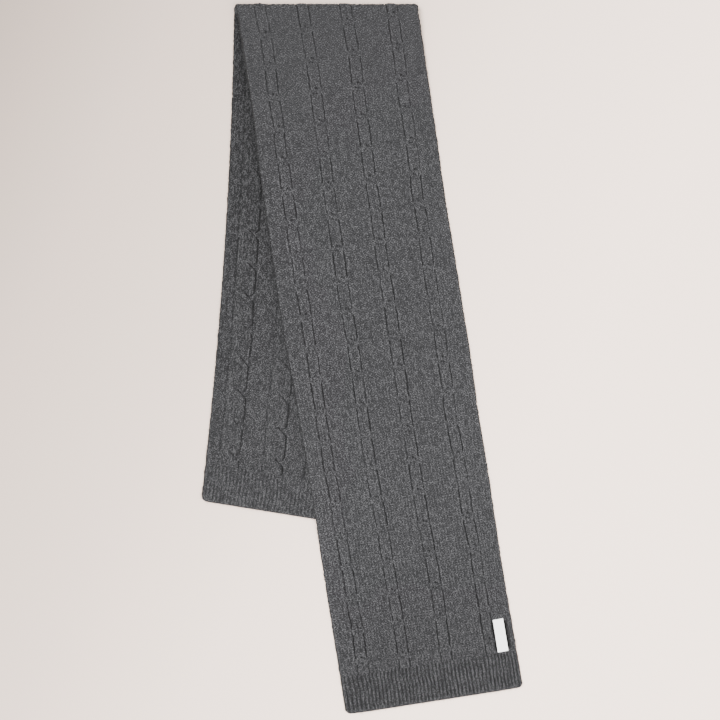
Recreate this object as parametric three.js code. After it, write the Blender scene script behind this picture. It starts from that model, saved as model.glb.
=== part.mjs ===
import * as THREE from 'three';

// A cable-knit wool scarf, folded once across its width and laid flat.
// Millimetres and degrees: X to the right, Y towards the fold, Z up from the surface it lies on.
// u runs across the cloth from its left edge, v runs down the upper layer from the fold,
// and w runs up the under layer from its hem.

const { lerp, smoothstep, degToRad, clamp } = THREE.MathUtils;

// The cloth
const CLOTH_WIDTH = 270;
const RIB_LENGTH = 57;
const RIB_COUNT = 48;
const SEAM_GAP = 0.3;
const CORNER_RADIUS = 6;

// Thickness of the plain wall, and heights of the knit above it
const WALL = 2.4;
const FACE_HEIGHT = 1.2;
const BACK_HEIGHT = 0.5;
const RIB_HEIGHT = 0.6;
const EDGE_DROP = 0.6;
const EDGE_SHOULDER = 5;

// The fold: its line is level, FOLD_TOP is the height of the rounded turn
const FOLD_Y = 535.5;
const FOLD_LEFT = -190.4;
const FOLD_REACH = 14;
const FOLD_TOP = 12;
const FOLD_SETTLE = 50;

// The upper layer leans to the right going down
const UPPER_LEAN = degToRad(8.87);
const UPPER_LENGTH = 1083;

// The under layer leans the other way: the middle of each side edge bows out to the right
const UNDER_FOLD_LEFT = -193.2;
const UNDER_HEM_LEFT = { x: -243.2, y: -212.4 };
const UNDER_HEM_TILT = degToRad(9.18);
const UNDER_BOW = 9.8;

// The upper layer rests LAYER_HEIGHT up on the under one and settles to the surface past its edges
const LAYER_HEIGHT = 4.8;
const SETTLE_START = -6;
const SETTLE_END = 40;

// The knit repeat along the cloth
const REPEAT = 47.65;
const FIRST_FACE_CROSSING = 1006.5;
const FACE_CROSSINGS = 20;
const FIRST_BACK_CROSSING = 75;
const BACK_CROSSINGS = 14;

// Narrow columns of the upper face, each between two grooves
const FACE_COLUMNS = [
  { centre: 32.5, width: 15.4 },
  { centre: 94.7, width: 16.9 },
  { centre: 159.0, width: 17.0 },
  { centre: 226.5, width: 17.2 },
];
const GROOVE_LIP = 2.2;

// One repeat of a narrow column, heights above the wall
const FACE_REPEAT = [
  { along: -9, groove: 0.1, crown: 1.2 },
  { along: 0, groove: 1.1, crown: 1.3 },
  { along: 12, groove: 0.1, crown: 1.8 },
];

// Rope cables of the other face
const BACK_CABLES = [
  { centre: 34.5, width: 30 },
  { centre: 101, width: 31 },
  { centre: 165, width: 31 },
  { centre: 230, width: 31 },
];

// One repeat of a rope, from the hem up: its two strands change sides
const BACK_REPEAT = [
  { along: -20, left: 1.5, middle: 0.7, right: 1.5 },
  { along: -9, left: 0.9, middle: 1.0, right: 1.8 },
  { along: 2, left: 1.0, middle: 1.8, right: 0.9 },
  { along: 13, left: 1.8, middle: 1.0, right: 0.9 },
];

// How far the upper layer's edges and columns stand to the right of straight lines
const UPPER_DRIFT = [
  { along: 0, left: 0, right: 0, columns: 4.5 },
  { along: 105, left: 0, right: -0.6, columns: 4.5 },
  { along: 165, left: 0, right: -1.4, columns: 3 },
  { along: 250, left: -3.5, right: -1.9, columns: 1.8 },
  { along: 330, left: -4.4, right: -3.4, columns: 0.8 },
  { along: 400, left: -5.1, right: -2.8, columns: -0.3 },
  { along: 500, left: -5.6, right: -2.4, columns: 0 },
  { along: 590, left: -3, right: -2.3, columns: -0.6 },
  { along: 665, left: -1.6, right: -3.9, columns: -1.4 },
  { along: 750, left: -0.5, right: -3, columns: -0.2 },
  { along: 820, left: -1.6, right: -3.6, columns: 1.2 },
  { along: 910, left: -1.9, right: -3.9, columns: 3 },
  { along: 990, left: -1.5, right: -2.6, columns: 3.3 },
  { along: UPPER_LENGTH, left: -1.5, right: -1, columns: 3.3 },
];

// The woven label on the upper layer
const LABEL = { left: 237.5, width: 18, top: 975.5, length: 49, thickness: 0.6 };

const WOOL = new THREE.MeshStandardMaterial({ color: 0x5e5e60, roughness: 0.95, metalness: 0 });
const LABEL_CLOTH = new THREE.MeshStandardMaterial({ color: 0xebebe8, roughness: 0.8, metalness: 0 });

// Reads one column of a table at a place along the cloth
function tableAt(table, key, along) {
  const next = table.findIndex((row) => row.along >= along);
  if (next <= 0) return table[next === 0 ? 0 : table.length - 1][key];
  const [a, b] = [table[next - 1], table[next]];
  return lerp(a[key], b[key], (along - a.along) / (b.along - a.along));
}

// Plan position of a point of the upper layer
const COLUMNS_START = FACE_COLUMNS[0].centre;
const COLUMNS_END = FACE_COLUMNS[FACE_COLUMNS.length - 1].centre;

function upperDrift(u, v) {
  const left = tableAt(UPPER_DRIFT, 'left', v);
  const right = tableAt(UPPER_DRIFT, 'right', v);
  const columns = tableAt(UPPER_DRIFT, 'columns', v);
  if (u < COLUMNS_START) return lerp(left, columns, u / COLUMNS_START);
  if (u < COLUMNS_END) return columns;
  return lerp(columns, right, (u - COLUMNS_END) / (CLOTH_WIDTH - COLUMNS_END));
}

function upperPlan(u, v) {
  return {
    x: FOLD_LEFT + u * Math.cos(UPPER_LEAN) + v * Math.sin(UPPER_LEAN) + upperDrift(u, v),
    y: FOLD_Y + u * Math.sin(UPPER_LEAN) - v * Math.cos(UPPER_LEAN),
  };
}

// Side edges of the under layer: t is 0 at the fold and 1 at the hem
const UNDER_FOLD_RIGHT = FOLD_LEFT + CLOTH_WIDTH / Math.cos(UPPER_LEAN);
const UNDER_HEM_RIGHT = {
  x: UNDER_HEM_LEFT.x + CLOTH_WIDTH * Math.cos(UNDER_HEM_TILT),
  y: UNDER_HEM_LEFT.y - CLOTH_WIDTH * Math.sin(UNDER_HEM_TILT),
};
const UNDER_LEFT_LENGTH = Math.hypot(UNDER_FOLD_LEFT - UNDER_HEM_LEFT.x, FOLD_Y - UNDER_HEM_LEFT.y);
const UNDER_RIGHT_LENGTH = Math.hypot(UNDER_FOLD_RIGHT - UNDER_HEM_RIGHT.x, FOLD_Y - UNDER_HEM_RIGHT.y);

function underEdge(foldX, hem, t) {
  const bow = UNDER_BOW * 4 * t * (1 - t);
  return { x: lerp(foldX, hem.x, t) + bow, y: lerp(FOLD_Y, hem.y, t) };
}

// Plan position of a point of the under layer on a row that meets the left and right edges at given w
function underPlan(u, leftW, rightW) {
  const left = underEdge(UNDER_FOLD_LEFT, UNDER_HEM_LEFT, 1 - leftW / UNDER_LEFT_LENGTH);
  const right = underEdge(UNDER_FOLD_RIGHT, UNDER_HEM_RIGHT, 1 - rightW / UNDER_RIGHT_LENGTH);
  const share = u / CLOTH_WIDTH;
  return { x: lerp(left.x, right.x, share), y: lerp(left.y, right.y, share) };
}

// Height of the upper layer's plain underside over the surface
function settle(distance) {
  return 1 - smoothstep(distance, SETTLE_START, SETTLE_END);
}

function undersideHeight(x, y) {
  const t = (FOLD_Y - y) / (FOLD_Y - UNDER_HEM_RIGHT.y);
  const pastRight = x - underEdge(UNDER_FOLD_RIGHT, UNDER_HEM_RIGHT, clamp(t, 0, 1)).x;
  const hemY = UNDER_HEM_LEFT.y - (x - UNDER_HEM_LEFT.x) * Math.tan(UNDER_HEM_TILT);
  const pastHem = (hemY - y) * Math.cos(UNDER_HEM_TILT);
  const foldRadius = FOLD_TOP / 2;
  const loft = 1 - smoothstep(FOLD_Y - y, foldRadius, foldRadius + FOLD_SETTLE);
  const onLayer = LAYER_HEIGHT * settle(pastRight) * settle(pastHem);
  const foldUnderside = FOLD_TOP - WALL - FACE_HEIGHT;
  return lerp(onLayer, foldUnderside, loft);
}

// Builds one closed wall from an outer and an inner grid of points. Rows run down the cloth and
// points in a row run from left to right, as seen from outside.
function closedWall(outer, inner) {
  const positions = [];
  const faces = [];
  const addGrid = (rows) => rows.map((row) => row.map((p) => positions.push(p) - 1));
  const addSurface = (grid, facesIn) => {
    for (let r = 0; r + 1 < grid.length; r++) {
      for (let c = 0; c + 1 < grid[r].length; c++) {
        const [a, b, d, e] = [grid[r][c], grid[r + 1][c], grid[r + 1][c + 1], grid[r][c + 1]];
        faces.push(...(facesIn ? [[a, d, b], [a, e, d]] : [[a, b, d], [a, d, e]]));
      }
    }
  };
  const progress = (line) => {
    const lengths = [0];
    for (let i = 1; i < line.length; i++) {
      const [p, q] = [positions[line[i - 1]], positions[line[i]]];
      lengths.push(lengths[i - 1] + Math.hypot(p[0] - q[0], p[1] - q[1]));
    }
    return lengths.map((length) => length / lengths[lengths.length - 1]);
  };
  const zip = (outerLine, innerLine) => {
    const [outerAt, innerAt] = [progress(outerLine), progress(innerLine)];
    let [i, j] = [0, 0];
    while (i + 1 < outerLine.length || j + 1 < innerLine.length) {
      const outerNext = i + 1 < outerLine.length ? outerAt[i + 1] : Infinity;
      const innerNext = j + 1 < innerLine.length ? innerAt[j + 1] : Infinity;
      if (outerNext <= innerNext) {
        faces.push([outerLine[i], outerLine[i + 1], innerLine[j]]);
        i += 1;
      } else {
        faces.push([innerLine[j + 1], innerLine[j], outerLine[i]]);
        j += 1;
      }
    }
  };
  const [outside, inside] = [addGrid(outer), addGrid(inner)];
  addSurface(outside, false);
  addSurface(inside, true);
  const first = (grid) => grid[0];
  const last = (grid) => [...grid[grid.length - 1]].reverse();
  const left = (grid) => grid.map((row) => row[0]).reverse();
  const right = (grid) => grid.map((row) => row[row.length - 1]);
  for (const side of [first, last, left, right]) zip(side(outside), side(inside));
  const geometry = new THREE.BufferGeometry();
  geometry.setAttribute('position', new THREE.Float32BufferAttribute(positions.flat(), 3));
  geometry.setIndex(faces.flat());
  geometry.computeVertexNormals();
  return geometry;
}

function evenSteps(count) {
  return Array.from({ length: count + 1 }, (_, i) => i / count);
}

// Stations across the upper face: two lips and two grooves round each crown
function faceStations() {
  const stations = [{ u: 0, part: 'edge' }, { u: EDGE_SHOULDER, part: 'plain' }];
  FACE_COLUMNS.forEach(({ centre, width }, i) => {
    const half = width / 2;
    if (i > 0) stations.push({ u: (centre + FACE_COLUMNS[i - 1].centre) / 2, part: 'plain' });
    stations.push({ u: centre - half - GROOVE_LIP, part: 'plain' });
    stations.push({ u: centre - half, part: 'groove' });
    stations.push({ u: centre, part: 'crown' });
    stations.push({ u: centre + half, part: 'groove' });
    stations.push({ u: centre + half + GROOVE_LIP, part: 'plain' });
  });
  stations.push({ u: CLOTH_WIDTH - EDGE_SHOULDER, part: 'plain' }, { u: CLOTH_WIDTH, part: 'edge' });
  return stations;
}

function faceHeight(part, repeat) {
  if (part === 'edge') return -EDGE_DROP;
  return part === 'plain' ? FACE_HEIGHT : repeat[part];
}

// Stations across the cable face: the two strands of each rope and the ground beside it
function backStations() {
  const stations = [{ u: 0, part: 'edge' }, { u: EDGE_SHOULDER, part: 'ground' }];
  for (const { centre, width } of BACK_CABLES) {
    stations.push({ u: centre - width / 2, part: 'ground' });
    stations.push({ u: centre - width / 4, part: 'left' });
    stations.push({ u: centre, part: 'middle' });
    stations.push({ u: centre + width / 4, part: 'right' });
    stations.push({ u: centre + width / 2, part: 'ground' });
  }
  stations.push({ u: CLOTH_WIDTH - EDGE_SHOULDER, part: 'ground' }, { u: CLOTH_WIDTH, part: 'edge' });
  return stations;
}

function backHeight(part, repeat) {
  if (part === 'edge') return -EDGE_DROP;
  return part === 'ground' ? BACK_HEIGHT : repeat[part];
}

// Rows of the upper panel. Near the fold they fan out from its level line to rows square to the cloth.
const FAN_ROWS = 4;
const ROW_MARGIN = 1;
const PLAIN_FACE = { groove: 0.1, crown: 1.5 };

function upperRows() {
  const bodyStart = (FOLD_REACH + SEAM_GAP) / Math.cos(UPPER_LEAN);
  const bodyEnd = UPPER_LENGTH - RIB_LENGTH - SEAM_GAP;
  const start = { left: bodyStart, right: bodyStart + CLOTH_WIDTH * Math.tan(UPPER_LEAN) };
  const rows = [];
  for (let k = FACE_CROSSINGS - 1; k >= 0; k--) {
    const crossing = FIRST_FACE_CROSSING - k * REPEAT;
    for (const repeat of FACE_REPEAT) {
      rows.push({ left: crossing + repeat.along, right: crossing + repeat.along, repeat });
    }
  }
  const fan = evenSteps(FAN_ROWS).slice(0, -1).map((share) => ({
    left: lerp(start.left, rows[0].left, share),
    right: lerp(start.right, rows[0].right, share),
    repeat: PLAIN_FACE,
  }));
  const end = { left: bodyEnd, right: bodyEnd, repeat: PLAIN_FACE };
  return [...fan, ...rows.filter((row) => row.left < bodyEnd - ROW_MARGIN), end];
}

function upperPoint(u, row, height) {
  const { x, y } = upperPlan(u, lerp(row.left, row.right, u / CLOTH_WIDTH));
  return [x, y, undersideHeight(x, y) + height];
}

const UNDERSIDE_COLUMNS = 14;
const UNDERSIDE_ROW_STEP = 2;

function upperPanel() {
  const stations = faceStations();
  const rows = upperRows();
  const outer = rows.map((row) => stations.map(({ u, part }) => (
    upperPoint(u, row, WALL + faceHeight(part, row.repeat)))));
  const plainRows = rows.filter((_, i) => i % UNDERSIDE_ROW_STEP === 0 || i === rows.length - 1);
  const inner = plainRows.map((row) => evenSteps(UNDERSIDE_COLUMNS).map((share) => (
    upperPoint(share * CLOTH_WIDTH, row, 0))));
  return closedWall(outer, inner);
}

// Rows of the under panel, from the fold down to the rib
const PLAIN_BACK = { left: 1.3, middle: 1.0, right: 1.3 };

function underRows() {
  const share = (FOLD_REACH + SEAM_GAP) / (FOLD_Y - UNDER_HEM_LEFT.y);
  const rightShare = (FOLD_REACH + SEAM_GAP) / (FOLD_Y - UNDER_HEM_RIGHT.y);
  const start = { left: UNDER_LEFT_LENGTH * (1 - share), right: UNDER_RIGHT_LENGTH * (1 - rightShare) };
  const bodyEnd = RIB_LENGTH + SEAM_GAP;
  const rows = [];
  for (let k = BACK_CROSSINGS - 1; k >= 0; k--) {
    const crossing = FIRST_BACK_CROSSING + k * REPEAT;
    for (const repeat of [...BACK_REPEAT].reverse()) {
      rows.push({ left: crossing + repeat.along, right: crossing + repeat.along, repeat });
    }
  }
  const fan = evenSteps(FAN_ROWS).slice(0, -1).map((part) => ({
    left: lerp(start.left, rows[0].left, part),
    right: lerp(start.right, rows[0].right, part),
    repeat: PLAIN_BACK,
  }));
  const end = { left: bodyEnd, right: bodyEnd, repeat: PLAIN_BACK };
  return [...fan, ...rows.filter((row) => row.left > bodyEnd + ROW_MARGIN), end];
}

function underPoint(u, row, height) {
  const { x, y } = underPlan(u, row.left, row.right);
  return [x, y, height];
}

function underPanel() {
  const stations = backStations();
  const rows = underRows();
  const outer = rows.map((row) => stations.map(({ u, part }) => (
    underPoint(u, row, WALL + backHeight(part, row.repeat)))));
  const inner = rows.map((row) => [0, CLOTH_WIDTH].map((u) => underPoint(u, row, 0)));
  return closedWall(outer, inner);
}

// The rib at an end: its rows are distances from the hem, and its corners are rounded
const RIB_UNDERSIDE_COLUMNS = 6;

function ribHem(pointAt) {
  const bend = CORNER_RADIUS * (1 - Math.SQRT1_2);
  const rows = [RIB_LENGTH - SEAM_GAP / 2, CORNER_RADIUS, bend, 0];
  const ribs = evenSteps(2 * RIB_COUNT);
  const cornerInset = (fromHem) => {
    const rise = Math.max(0, CORNER_RADIUS - fromHem);
    return CORNER_RADIUS - Math.sqrt(CORNER_RADIUS ** 2 - rise ** 2);
  };
  const place = (share, fromHem, height) => {
    const inset = cornerInset(fromHem);
    return pointAt(lerp(inset, CLOTH_WIDTH - inset, share), fromHem, height);
  };
  const ribTop = (index, fromHem) => {
    const onEdge = index === 0 || index === ribs.length - 1 || fromHem === 0;
    if (onEdge) return WALL - EDGE_DROP;
    return WALL + (index % 2 === 1 ? RIB_HEIGHT : 0);
  };
  const outer = rows.map((fromHem) => ribs.map((share, i) => place(share, fromHem, ribTop(i, fromHem))));
  const inner = rows.map((fromHem) => evenSteps(RIB_UNDERSIDE_COLUMNS).map((share) => (
    place(share, fromHem, 0))));
  return closedWall(outer, inner);
}

function upperRibHem() {
  return ribHem((u, fromHem, height) => {
    const v = UPPER_LENGTH - fromHem;
    return upperPoint(u, { left: v, right: v }, height);
  });
}

function underRibHem() {
  return ribHem((u, fromHem, height) => underPoint(u, { left: fromHem, right: fromHem }, height));
}

// The rounded turn at the fold: each grid runs from the upper layer round to the under layer
const TURN_STEPS = 8;

function foldTurn() {
  const radius = FOLD_TOP / 2;
  const wall = WALL + FACE_HEIGHT;
  const turnY = FOLD_Y - radius;
  const seamY = FOLD_Y - FOLD_REACH;
  const upperX = (u, y) => {
    const v = (FOLD_Y - y + u * Math.sin(UPPER_LEAN)) / Math.cos(UPPER_LEAN);
    return upperPlan(u, v).x;
  };
  const underX = (u) => lerp(UNDER_FOLD_LEFT, UNDER_FOLD_RIGHT, u / CLOTH_WIDTH);
  const legRow = (us, y, z) => us.map((u) => [upperX(u, y), y, z(u)]);
  const arcRow = (us, share, arcRadius) => us.map((u) => {
    const angle = Math.PI * (0.5 - share);
    const r = arcRadius(u, share);
    const x = lerp(upperX(u, turnY), underX(u), share);
    return [x, turnY + r * Math.cos(angle), radius + r * Math.sin(angle)];
  });
  const floorRow = (us, z) => us.map((u) => [underX(u), seamY, z]);
  const stations = faceStations();
  const us = stations.map(({ u }) => u);
  const reliefAt = (u) => faceHeight(stations.find((s) => s.u === u).part, PLAIN_FACE);
  const turn = evenSteps(TURN_STEPS);
  const outerRadius = (u, share) => radius - (FACE_HEIGHT - reliefAt(u)) * (1 - smoothstep(share, 0.5, 1));
  const plainUs = evenSteps(UNDERSIDE_COLUMNS).map((share) => share * CLOTH_WIDTH);
  const seamTop = (u) => undersideHeight(upperX(u, seamY), seamY);
  const outer = [
    legRow(us, seamY, (u) => seamTop(u) + WALL + reliefAt(u)),
    ...turn.map((share) => arcRow(us, share, outerRadius)),
    floorRow(us, 0),
  ];
  const inner = [
    legRow(plainUs, seamY, seamTop),
    ...turn.map((share) => arcRow(plainUs, share, () => radius - wall)),
    floorRow(plainUs, wall),
  ];
  return closedWall(outer.reverse(), inner.reverse());
}

// The woven label lies on the upper face, moved out from it
const LABEL_ROWS = 8;
const LABEL_COLUMNS = 3;

function label() {
  const lift = WALL + FACE_HEIGHT + SEAM_GAP;
  const surface = (height) => evenSteps(LABEL_ROWS).map((down) => evenSteps(LABEL_COLUMNS).map((across) => {
    const v = LABEL.top + down * LABEL.length;
    return upperPoint(LABEL.left + across * LABEL.width, { left: v, right: v }, height);
  }));
  return closedWall(surface(lift + LABEL.thickness), surface(lift));
}

const group = new THREE.Group();
const pieces = [
  ['under_panel', underPanel(), WOOL],
  ['under_rib_hem', underRibHem(), WOOL],
  ['fold', foldTurn(), WOOL],
  ['upper_panel', upperPanel(), WOOL],
  ['upper_rib_hem', upperRibHem(), WOOL],
  ['label', label(), LABEL_CLOTH],
];
for (const [name, geometry, material] of pieces) {
  const mesh = new THREE.Mesh(geometry, material);
  mesh.name = name;
  group.add(mesh);
}

// The origin is the middle of the whole scarf's outline, on the surface it lies on
const outline = new THREE.Box3().setFromObject(group);
const middle = outline.getCenter(new THREE.Vector3());
group.position.set(-middle.x, -middle.y, -outline.min.z);

export default group;
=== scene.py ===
"""Looks of a cable-knit wool scarf, folded once and laid flat on a pale floor.

u runs across the cloth from its left edge, v down the upper layer from the fold, and w up the
under layer from its hem, in millimetres. Everything turns to metres where a mesh is made.
"""

import bpy
import numpy as np
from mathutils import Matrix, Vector


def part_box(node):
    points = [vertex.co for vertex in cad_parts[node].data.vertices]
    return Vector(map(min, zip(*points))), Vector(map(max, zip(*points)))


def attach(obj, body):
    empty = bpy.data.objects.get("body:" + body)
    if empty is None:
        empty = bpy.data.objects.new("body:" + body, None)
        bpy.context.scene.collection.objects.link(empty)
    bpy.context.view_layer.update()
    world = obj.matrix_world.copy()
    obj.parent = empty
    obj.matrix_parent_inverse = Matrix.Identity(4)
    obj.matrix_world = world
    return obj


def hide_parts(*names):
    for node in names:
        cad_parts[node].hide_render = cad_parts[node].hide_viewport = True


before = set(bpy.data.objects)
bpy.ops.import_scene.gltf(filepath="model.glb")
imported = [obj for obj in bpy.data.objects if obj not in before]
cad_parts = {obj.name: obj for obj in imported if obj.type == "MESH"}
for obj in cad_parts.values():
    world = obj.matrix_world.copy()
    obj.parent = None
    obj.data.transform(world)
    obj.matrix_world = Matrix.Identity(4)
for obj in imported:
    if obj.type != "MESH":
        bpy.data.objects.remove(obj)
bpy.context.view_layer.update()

MM = 0.001
rng = np.random.RandomState(27)

# The cloth, as the frame's solids have it
CLOTH_WIDTH = 270.0
RIB_LENGTH = 57.0
RIB_COUNT = 48
CORNER_RADIUS = 9.0
WALL = 2.4
FACE_HEIGHT = 1.2
BACK_HEIGHT = 0.5

FOLD_Y = 535.5
FOLD_LEFT = -190.4
FOLD_REACH = 14.0
FOLD_TOP = 12.0
FOLD_SETTLE = 50.0
FOLD_CROWN = 0.3
UPPER_LEAN = np.radians(8.87)
UPPER_LENGTH = 1083.0
UNDER_FOLD_LEFT = -193.2
UNDER_HEM_LEFT = (-243.2, -212.4)
UNDER_HEM_TILT = np.radians(9.18)
UNDER_BOW = 9.8
LAYER_HEIGHT = 4.8
SETTLE_START = -6.0
SETTLE_END = 40.0

# The knit: a stitch is one wale wide and one course long
REPEAT = 47.65
COURSES_IN_REPEAT = 12
COURSE = REPEAT / COURSES_IN_REPEAT
WALES = 58
WALE = CLOTH_WIDTH / WALES
POINTS_IN_WALE = 4
STITCH_SLANT = 0.9
STITCH_HEIGHT = 0.34
FIRST_FACE_CROSSING = 1006.5
FIRST_BACK_CROSSING = 75.0

FACE_COLUMNS = [
    {"centre": 32.5, "width": 15.4},
    {"centre": 94.7, "width": 16.9},
    {"centre": 159.0, "width": 17.0},
    {"centre": 226.5, "width": 17.2},
]
BACK_CABLES = [
    {"centre": 34.5, "width": 30.0},
    {"centre": 101.0, "width": 31.0},
    {"centre": 165.0, "width": 31.0},
    {"centre": 230.0, "width": 31.0},
]

# Small bumps and pits of one crossing on the face, from its centre: along is towards the hem
CROSSING_STITCHES = [
    {"across": 0.0, "along": -5.1, "reach": 1.6, "height": -1.5},
    {"across": 3.0, "along": -3.0, "reach": 1.3, "height": -0.8},
    {"across": -0.5, "along": -9.2, "reach": 1.5, "height": -0.6},
    {"across": 4.2, "along": -6.2, "reach": 1.5, "height": 0.7},
    {"across": -4.8, "along": -5.0, "reach": 1.6, "height": 0.5},
    {"across": -2.3, "along": -1.7, "reach": 1.5, "height": 0.7},
    {"across": 0.4, "along": -2.0, "reach": 1.5, "height": 0.7},
    {"across": 2.5, "along": -0.6, "reach": 1.5, "height": 0.6},
    {"across": 7.6, "along": 0.3, "reach": 1.6, "height": 0.6},
    {"across": 7.6, "along": 4.0, "reach": 1.7, "height": 0.5},
    {"across": 3.8, "along": 2.8, "reach": 1.5, "height": 0.4},
    {"across": -3.5, "along": 2.4, "reach": 1.4, "height": -1.0},
    {"across": 0.5, "along": 3.6, "reach": 1.4, "height": -1.0},
    {"across": -2.3, "along": 7.8, "reach": 1.6, "height": -0.4},
    {"across": 2.3, "along": 10.8, "reach": 1.6, "height": -0.4},
]

# How far the upper layer's edges and columns stand to the right of straight lines
UPPER_DRIFT = [
    {"along": 0, "left": 0, "right": 0, "columns": 4.5},
    {"along": 105, "left": 0, "right": -0.6, "columns": 4.5},
    {"along": 165, "left": 0, "right": -1.4, "columns": 3},
    {"along": 250, "left": -3.5, "right": -1.9, "columns": 1.8},
    {"along": 330, "left": -4.4, "right": -3.4, "columns": 0.8},
    {"along": 400, "left": -5.1, "right": -2.8, "columns": -0.3},
    {"along": 500, "left": -5.6, "right": -2.4, "columns": 0},
    {"along": 590, "left": -3, "right": -2.3, "columns": -0.6},
    {"along": 665, "left": -1.6, "right": -3.9, "columns": -1.4},
    {"along": 750, "left": -0.5, "right": -3, "columns": -0.2},
    {"along": 820, "left": -1.6, "right": -3.6, "columns": 1.2},
    {"along": 910, "left": -1.9, "right": -3.9, "columns": 3},
    {"along": 990, "left": -1.5, "right": -2.6, "columns": 3.3},
    {"along": 1083, "left": -1.5, "right": -1, "columns": 3.3},
]

LABEL = {"left": 237.5, "width": 18.0, "top": 975.5, "length": 49.0, "thickness": 0.55}
LABEL_SEAT = WALL + FACE_HEIGHT + 0.35

# The photo's frame: its middle and the width it covers, at the height of the cloth's face
VIEW_MIDDLE = (-3.54, 0.0)
VIEW_WIDTH = 1083.6
LENS = 85.0
SENSOR = 36.0
CLOTH_FACE = 5.0


def lerp(a, b, share):
    return a + (b - a) * share


def smoothstep(x, low, high):
    """Rises from 0 at low to 1 at high, and falls where high is the smaller."""
    t = np.clip((x - low) / (high - low), 0.0, 1.0)
    return t * t * (3 - 2 * t)


def bell(x, reach):
    return np.exp(-((x / reach) ** 2))


def curve_through(table, key, at):
    """A smooth curve through one column of a table."""
    x = np.array([row["along"] for row in table], float)
    y = np.array([row[key] for row in table], float)
    slope = np.gradient(y, x)
    i = np.clip(np.searchsorted(x, at) - 1, 0, len(x) - 2)
    span = x[i + 1] - x[i]
    t = np.clip((at - x[i]) / span, 0.0, 1.0)
    start = (1 + 2 * t) * (1 - t) ** 2 * y[i] + t * (1 - t) ** 2 * span * slope[i]
    end = t * t * (3 - 2 * t) * y[i + 1] + t * t * (t - 1) * span * slope[i + 1]
    return start + end


def waves(x, y, seed, size, count=7):
    """Soft uneven waves, about -1 to 1, of about the given size in millimetres."""
    local = np.random.RandomState(seed)
    total = 0.0
    for _ in range(count):
        turn = local.uniform(0, np.pi)
        length = size * local.uniform(0.6, 1.7)
        phase = local.uniform(0, 2 * np.pi)
        total = total + np.sin((x * np.cos(turn) + y * np.sin(turn)) * 2 * np.pi / length + phase)
    return total / np.sqrt(count)


# The plan of the two layers

COLUMNS_START = FACE_COLUMNS[0]["centre"]
COLUMNS_END = FACE_COLUMNS[-1]["centre"]


def upper_drift(u, v):
    left = curve_through(UPPER_DRIFT, "left", v)
    right = curve_through(UPPER_DRIFT, "right", v)
    columns = curve_through(UPPER_DRIFT, "columns", v)
    near_left = lerp(left, columns, np.clip(u / COLUMNS_START, 0, 1))
    near_right = lerp(columns, right, np.clip((u - COLUMNS_END) / (CLOTH_WIDTH - COLUMNS_END), 0, 1))
    return np.where(u < COLUMNS_START, near_left, near_right)


def upper_plan(u, v):
    x = FOLD_LEFT + u * np.cos(UPPER_LEAN) + v * np.sin(UPPER_LEAN) + upper_drift(u, v)
    y = FOLD_Y + u * np.sin(UPPER_LEAN) - v * np.cos(UPPER_LEAN)
    return x, y


UNDER_FOLD_RIGHT = FOLD_LEFT + CLOTH_WIDTH / np.cos(UPPER_LEAN)
UNDER_HEM_RIGHT = (
    UNDER_HEM_LEFT[0] + CLOTH_WIDTH * np.cos(UNDER_HEM_TILT),
    UNDER_HEM_LEFT[1] - CLOTH_WIDTH * np.sin(UNDER_HEM_TILT),
)
UNDER_LEFT_LENGTH = np.hypot(UNDER_FOLD_LEFT - UNDER_HEM_LEFT[0], FOLD_Y - UNDER_HEM_LEFT[1])
UNDER_RIGHT_LENGTH = np.hypot(UNDER_FOLD_RIGHT - UNDER_HEM_RIGHT[0], FOLD_Y - UNDER_HEM_RIGHT[1])


def under_edge(fold_x, hem, t):
    return lerp(fold_x, hem[0], t) + UNDER_BOW * 4 * t * (1 - t), lerp(FOLD_Y, hem[1], t)


def under_plan(u, left_w, right_w):
    """Plan of rows that meet the left and right edges at given distances from the hem."""
    left_x, left_y = under_edge(UNDER_FOLD_LEFT, UNDER_HEM_LEFT, 1 - left_w / UNDER_LEFT_LENGTH)
    right_x, right_y = under_edge(UNDER_FOLD_RIGHT, UNDER_HEM_RIGHT, 1 - right_w / UNDER_RIGHT_LENGTH)
    share = u / CLOTH_WIDTH
    return lerp(left_x, right_x, share), lerp(left_y, right_y, share)


def underside_height(x, y):
    """Height of the upper layer's plain underside: on the under layer, then settling past its edges."""
    t = np.clip((FOLD_Y - y) / (FOLD_Y - UNDER_HEM_RIGHT[1]), 0, 1)
    past_right = x - under_edge(UNDER_FOLD_RIGHT, UNDER_HEM_RIGHT, t)[0]
    hem_y = UNDER_HEM_LEFT[1] - (x - UNDER_HEM_LEFT[0]) * np.tan(UNDER_HEM_TILT)
    past_hem = (hem_y - y) * np.cos(UNDER_HEM_TILT)
    on_right = 1 - smoothstep(past_right, SETTLE_START, SETTLE_END)
    on_hem = 1 - smoothstep(past_hem, SETTLE_START, SETTLE_END)
    loft = 1 - smoothstep(FOLD_Y - y, FOLD_TOP / 2, FOLD_TOP / 2 + FOLD_SETTLE)
    return lerp(LAYER_HEIGHT * on_right * on_hem, FOLD_TOP - WALL - FACE_HEIGHT, loft)


# The knit's relief, in millimetres over the plain wall

STITCH_CHANGE = 0.45
stitch_strength = 1 + STITCH_CHANGE * rng.uniform(-1, 1, (WALES + 4, 600))


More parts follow.
